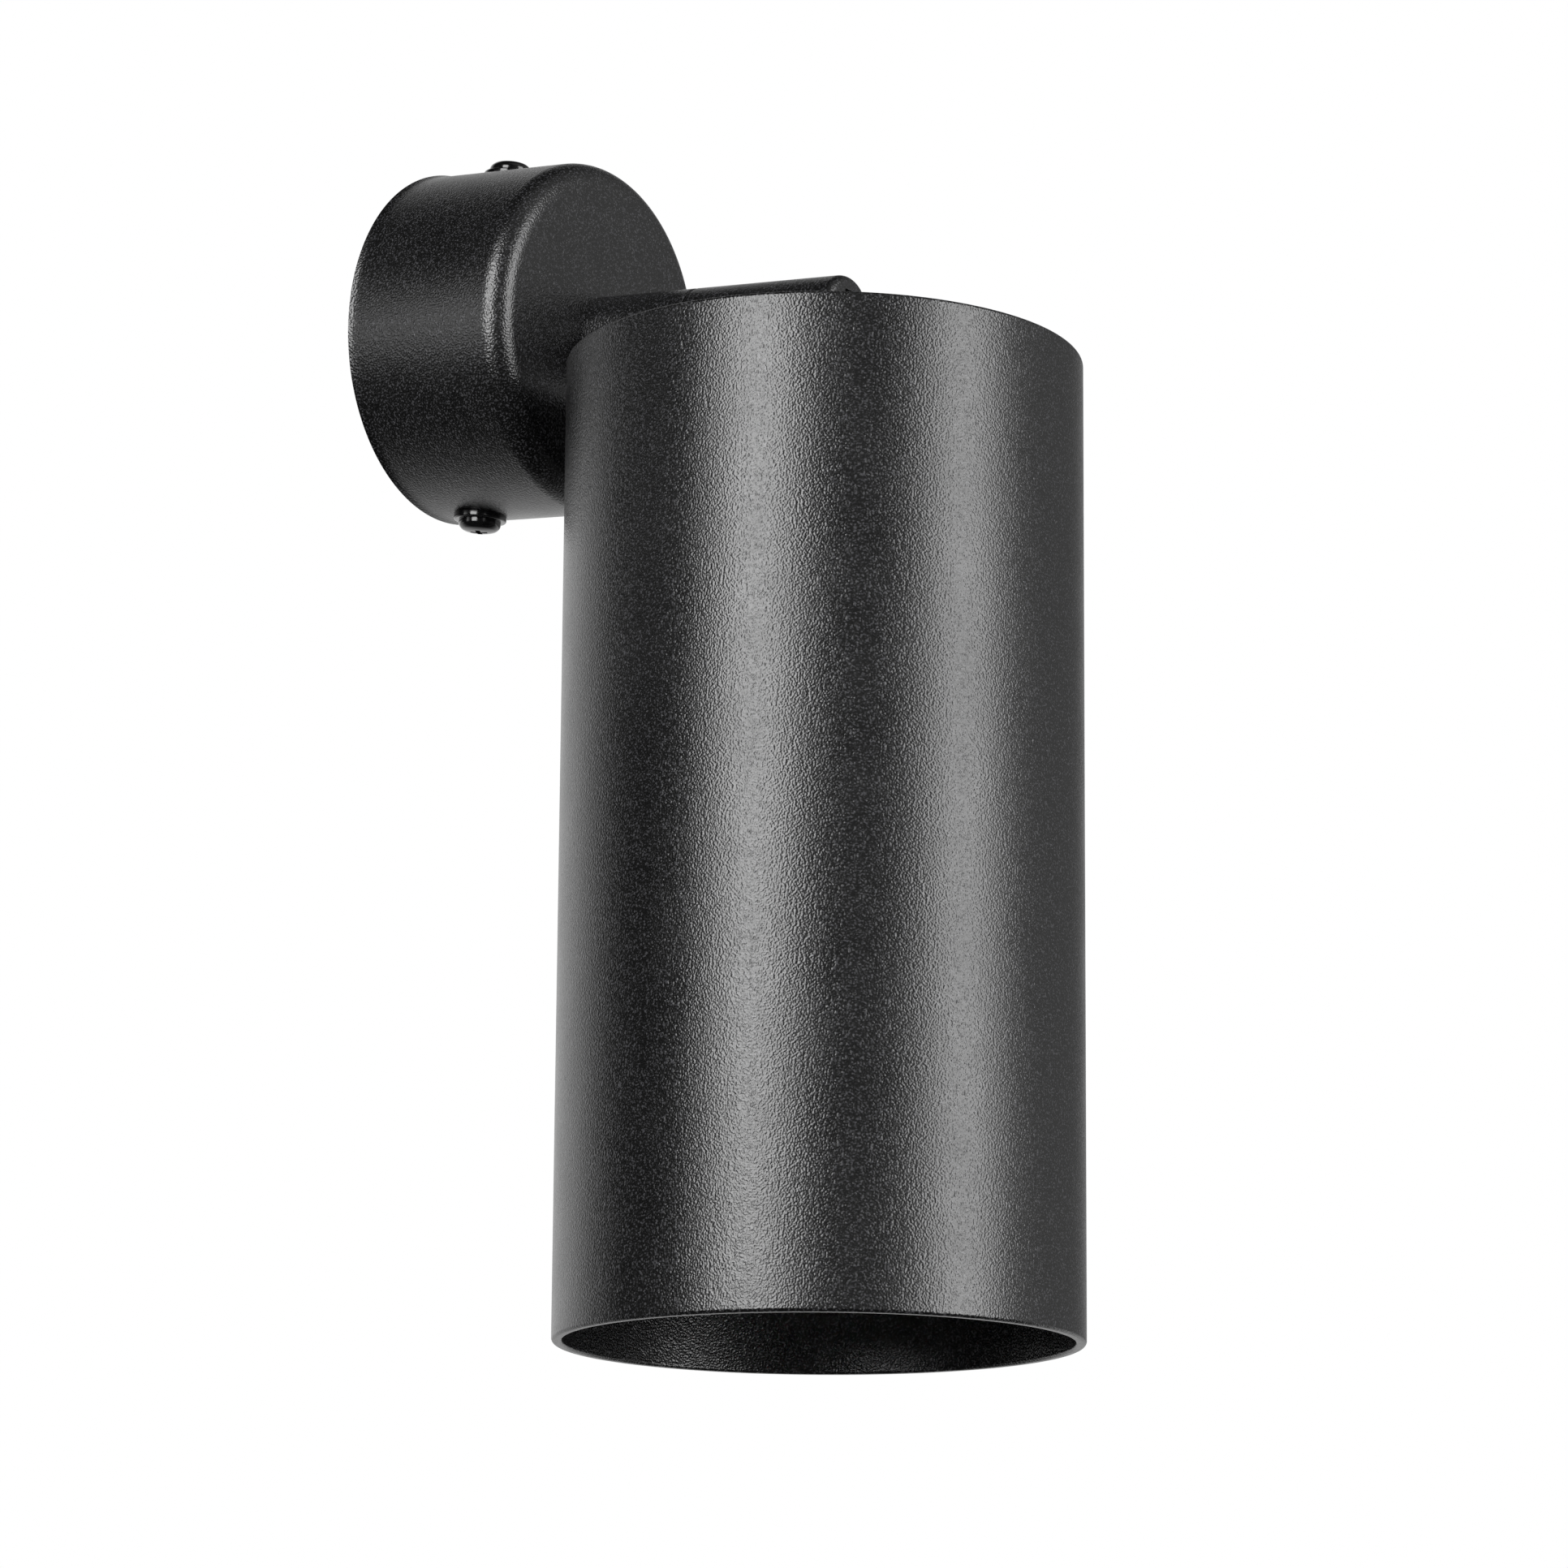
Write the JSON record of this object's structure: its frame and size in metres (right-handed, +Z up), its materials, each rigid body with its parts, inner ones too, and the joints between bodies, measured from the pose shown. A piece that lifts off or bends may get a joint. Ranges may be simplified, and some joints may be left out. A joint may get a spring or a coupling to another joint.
{
  "type": "tube wall light",
  "caption": "Downlight on a wall: a long open tube hangs from a short round arm that swivels and tilts, on a round canopy fixed to a wall plate.",
  "frame": {"origin": "centre of the wall plate's two fixing slots, on the wall plane", "axes": "+Z up along the wall, the light reaches out towards -Y, +Y points into the wall, +X to the right seen from the room"},
  "size_m": [0.1, 0.1557, 0.2419],
  "materials": {
    "coated_steel": "black fine-texture matt powder coat",
    "coated_aluminium": "black fine-texture matt powder coat",
    "bare_steel": "zinc-plated, satin",
    "black_screw": "black oxide, glossy",
    "brass": "turned, satin",
    "nickel": "nickel-plated, bright",
    "rubber": "moulded, matt",
    "white_plastic": "moulded, satin",
    "natural_nylon": "moulded, translucent-looking",
    "slippery_plastic": "waxy",
    "black_plastic": "moulded, satin",
    "opal_plastic": "opal diffuser, satin",
    "ceramic": "glazed steatite",
    "dark_glass": "dark glass",
    "lead_sheath": "soft sheath, matt",
    "brown_core": "insulation, satin",
    "blue_core": "insulation, satin",
    "earth_core": "green and yellow insulation, satin"
  },
  "bodies": {
    "wall_mount": {"wall_plate": "bare_steel", "cable_grommet": "rubber", "canopy_cover": "coated_steel", "canopy_screws": "black_screw", "terminal_block": "natural_nylon", "terminal_clamps": "brass", "clamp_screws": "bare_steel", "block_screw": "bare_steel", "earth_lug": "brass", "earth_screw": "bare_steel", "arm_nipple": "bare_steel", "nipple_washer": "bare_steel", "nipple_nut": "bare_steel", "arm_base": "coated_aluminium", "swivel_washer": "slippery_plastic", "swivel_grub_screw": "black_screw", "live_core": "brown_core", "neutral_core": "blue_core", "earth_core": "earth_core", "base_lead": "lead_sheath"},
    "swivel_arm": {"arm_head": "coated_aluminium", "pivot_screw": "black_screw", "pivot_nut": "black_screw", "tilt_washers": "slippery_plastic", "arm_lead": "lead_sheath"},
    "lamp_head": {"tilt_tongue": "coated_steel", "top_cap": "coated_aluminium", "cap_grommet": "rubber", "lamp_tube": "coated_aluminium", "foot_screws": "bare_steel", "holder_bracket": "bare_steel", "holder_stud": "bare_steel", "holder_nut": "bare_steel", "lampholder_body": "black_plastic", "lampholder_insert": "ceramic", "holder_terminals": "brass", "lampholder_shell": "brass", "centre_contact": "brass", "lamp_cap": "nickel", "lamp_insulator": "dark_glass", "lamp_tip": "nickel", "lamp_body": "white_plastic", "lamp_diffuser": "opal_plastic", "head_lead": "lead_sheath"}
  },
  "joints": [
    {"name": "swivel", "type": "hinge", "parent": "wall_mount", "child": "swivel_arm", "pos_m": [0, -0.06, 0], "axis": [0, 1, 0], "range_deg": [-145, 145]},
    {"name": "tilt", "type": "hinge", "parent": "swivel_arm", "child": "lamp_head", "pos_m": [0, -0.0894, 0], "axis": [-1, 0, 0], "range_deg": [-5.75, 85.25]}
  ]
}
